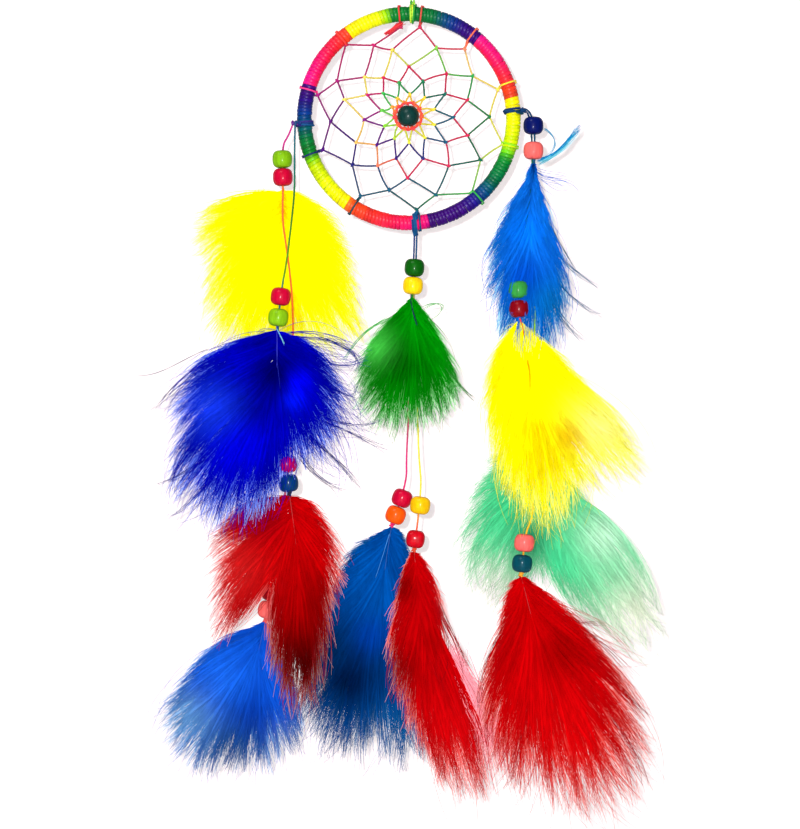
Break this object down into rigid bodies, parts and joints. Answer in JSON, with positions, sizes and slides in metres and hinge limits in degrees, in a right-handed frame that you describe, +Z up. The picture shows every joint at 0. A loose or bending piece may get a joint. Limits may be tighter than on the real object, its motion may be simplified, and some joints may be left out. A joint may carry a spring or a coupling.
{
  "type": "dream catcher",
  "caption": "Cord-wrapped hoop with a knotted rainbow web, a centre bead and three swinging tails of beads and dyed feathers, hung by a loop",
  "frame": {"origin": "point where the hanging loop bears on its hook", "axes": "+Z up, hoop flat in the XZ plane, front faces -Y"},
  "size_m": [0.2412, 0.0218, 0.4404],
  "materials": {
    "loop_cord": "twisted satin cord",
    "ring_rod": "plain wire rod, hidden",
    "wrap_cord": "rainbow satin cord, wound",
    "web_cord": "rainbow twisted cord",
    "bead_centre": "dyed and lacquered wood",
    "tie_teal": "twisted satin cord",
    "tie_blue": "twisted satin cord",
    "tie_navy": "twisted satin cord",
    "cord_magenta": "twisted satin cord",
    "bead_lime": "dyed and lacquered wood",
    "bead_crimson": "dyed and lacquered wood",
    "feather_yellow": "dyed marabou down",
    "cord_teal": "twisted satin cord",
    "feather_royal": "dyed marabou down",
    "cord_teal_b": "twisted satin cord",
    "bead_teal": "dyed and lacquered wood",
    "feather_red": "dyed marabou down",
    "cord_orange": "twisted satin cord",
    "bead_dark_red": "dyed and lacquered wood",
    "bead_coral": "dyed and lacquered wood",
    "feather_cornflower": "dyed marabou down",
    "cord_magenta_b": "twisted satin cord",
    "cord_yellow": "twisted satin cord",
    "bead_green": "dyed and lacquered wood",
    "bead_yellow": "dyed and lacquered wood",
    "feather_green": "dyed marabou down",
    "cord_magenta_c": "twisted satin cord",
    "bead_orange": "dyed and lacquered wood",
    "feather_azure": "dyed marabou down",
    "cord_yellow_b": "twisted satin cord",
    "bead_red": "dyed and lacquered wood",
    "feather_dark_red": "dyed marabou down",
    "cord_navy": "twisted satin cord",
    "cord_green": "twisted satin cord",
    "bead_navy": "dyed and lacquered wood",
    "feather_bright_blue": "dyed marabou down",
    "cord_orange_b": "twisted satin cord",
    "bead_mid_green": "dyed and lacquered wood",
    "feather_warm_yellow": "dyed marabou down",
    "cord_yellow_c": "twisted satin cord",
    "bead_dark_teal": "dyed and lacquered wood",
    "feather_scarlet": "dyed marabou down",
    "cord_green_b": "twisted satin cord",
    "feather_seagreen": "dyed marabou down"
  },
  "bodies": {
    "hanger": {"hanging_loop": "loop_cord"},
    "hoop": {"hoop_ring": "ring_rod", "hoop_wrap": "wrap_cord", "web_net": "web_cord", "web_hitches": "web_cord", "centre_bead": "bead_centre", "left_hitch": "tie_teal", "centre_hitch": "tie_blue", "right_hitch": "tie_navy"},
    "left_tail": {"left_cord_a_upper": "cord_magenta", "left_bead_lime": "bead_lime", "left_bead_crimson": "bead_crimson", "left_yellow_feather": "feather_yellow"},
    "left_blue": {"left_cord_b_upper": "cord_teal", "left_bead_crimson_b": "bead_crimson", "left_bead_lime_b": "bead_lime", "left_royal_feather": "feather_royal"},
    "left_red": {"left_cord_b_lower": "cord_teal_b", "left_bead_crimson_c": "bead_crimson", "left_bead_teal": "bead_teal", "left_red_feather": "feather_red"},
    "left_lightblue": {"left_cord_a_lower": "cord_orange", "left_bead_dark_red": "bead_dark_red", "left_bead_coral": "bead_coral", "left_lightblue_feather": "feather_cornflower"},
    "centre_tail": {"centre_cord_magenta_upper": "cord_magenta_b", "centre_cord_yellow_upper": "cord_yellow", "centre_bead_green": "bead_green", "centre_bead_yellow": "bead_yellow", "centre_green_feather": "feather_green"},
    "centre_blue": {"centre_cord_magenta_lower": "cord_magenta_c", "centre_bead_crimson": "bead_crimson", "centre_bead_orange": "bead_orange", "centre_azure_feather": "feather_azure"},
    "centre_red": {"centre_cord_yellow_lower": "cord_yellow_b", "centre_bead_yellow_b": "bead_yellow", "centre_bead_red": "bead_red", "centre_red_feather": "feather_dark_red"},
    "right_tail": {"right_cord_a_upper": "cord_navy", "right_cord_b_upper": "cord_green", "right_bead_navy": "bead_navy", "right_bead_coral": "bead_coral", "right_blue_feather": "feather_bright_blue"},
    "right_yellow": {"right_cord_a_middle": "cord_orange_b", "right_bead_green": "bead_mid_green", "right_bead_dark_red": "bead_dark_red", "right_yellow_feather": "feather_warm_yellow"},
    "right_red": {"right_cord_a_lower": "cord_yellow_c", "right_bead_coral_b": "bead_coral", "right_bead_dark_teal": "bead_dark_teal", "right_red_feather": "feather_scarlet"},
    "right_green": {"right_cord_b_lower": "cord_green_b", "right_bead_hidden": "bead_mid_green", "right_bead_hidden_b": "bead_yellow", "right_seagreen_feather": "feather_seagreen"}
  },
  "joints": [
    {"name": "hoop_tilt", "type": "hinge", "parent": "hanger", "child": "hoop", "pos_m": [0, 0, -0.04322], "axis": [1, 0, 0], "range_deg": [-40, 40]},
    {"name": "left_tail_swing", "type": "hinge", "parent": "hoop", "child": "left_tail", "pos_m": [-0.05921, -0.00338, -0.09825], "axis": [1, 0, 0], "range_deg": [-45, 45]},
    {"name": "left_blue_swing", "type": "hinge", "parent": "left_tail", "child": "left_blue", "pos_m": [-0.05921, -0.00338, -0.09825], "axis": [1, 0, 0], "range_deg": [-40, 0]},
    {"name": "left_red_swing", "type": "hinge", "parent": "left_blue", "child": "left_red", "pos_m": [-0.06211, -0.00468, -0.25875], "axis": [1, 0, 0], "range_deg": [-35, 0]},
    {"name": "left_lightblue_swing", "type": "hinge", "parent": "left_tail", "child": "left_lightblue", "pos_m": [-0.05965, -0.00028, -0.20875], "axis": [1, 0, 0], "range_deg": [0, 40]},
    {"name": "centre_tail_swing", "type": "hinge", "parent": "hoop", "child": "centre_tail", "pos_m": [0.0015, 0, -0.15309], "axis": [1, 0, 0], "range_deg": [-45, 45]},
    {"name": "centre_blue_swing", "type": "hinge", "parent": "centre_tail", "child": "centre_blue", "pos_m": [-0.00225, 0.0015, -0.25009], "axis": [1, 0, 0], "range_deg": [0, 40]},
    {"name": "centre_red_swing", "type": "hinge", "parent": "centre_tail", "child": "centre_red", "pos_m": [0.00275, 0.0015, -0.25009], "axis": [1, 0, 0], "range_deg": [-40, 0]},
    {"name": "right_tail_swing", "type": "hinge", "parent": "hoop", "child": "right_tail", "pos_m": [0.05551, -0.00338, -0.09173], "axis": [1, 0, 0], "range_deg": [-45, 45]},
    {"name": "right_yellow_swing", "type": "hinge", "parent": "right_tail", "child": "right_yellow", "pos_m": [0.05981, -0.00158, -0.11853], "axis": [1, 0, 0], "range_deg": [-40, 0]},
    {"name": "right_red_swing", "type": "hinge", "parent": "right_yellow", "child": "right_red", "pos_m": [0.05981, -0.00378, -0.29373], "axis": [1, 0, 0], "range_deg": [-35, 0]},
    {"name": "right_green_swing", "type": "hinge", "parent": "right_tail", "child": "right_green", "pos_m": [0.06111, -0.00168, -0.19703], "axis": [1, 0, 0], "range_deg": [0, 40]}
  ]
}
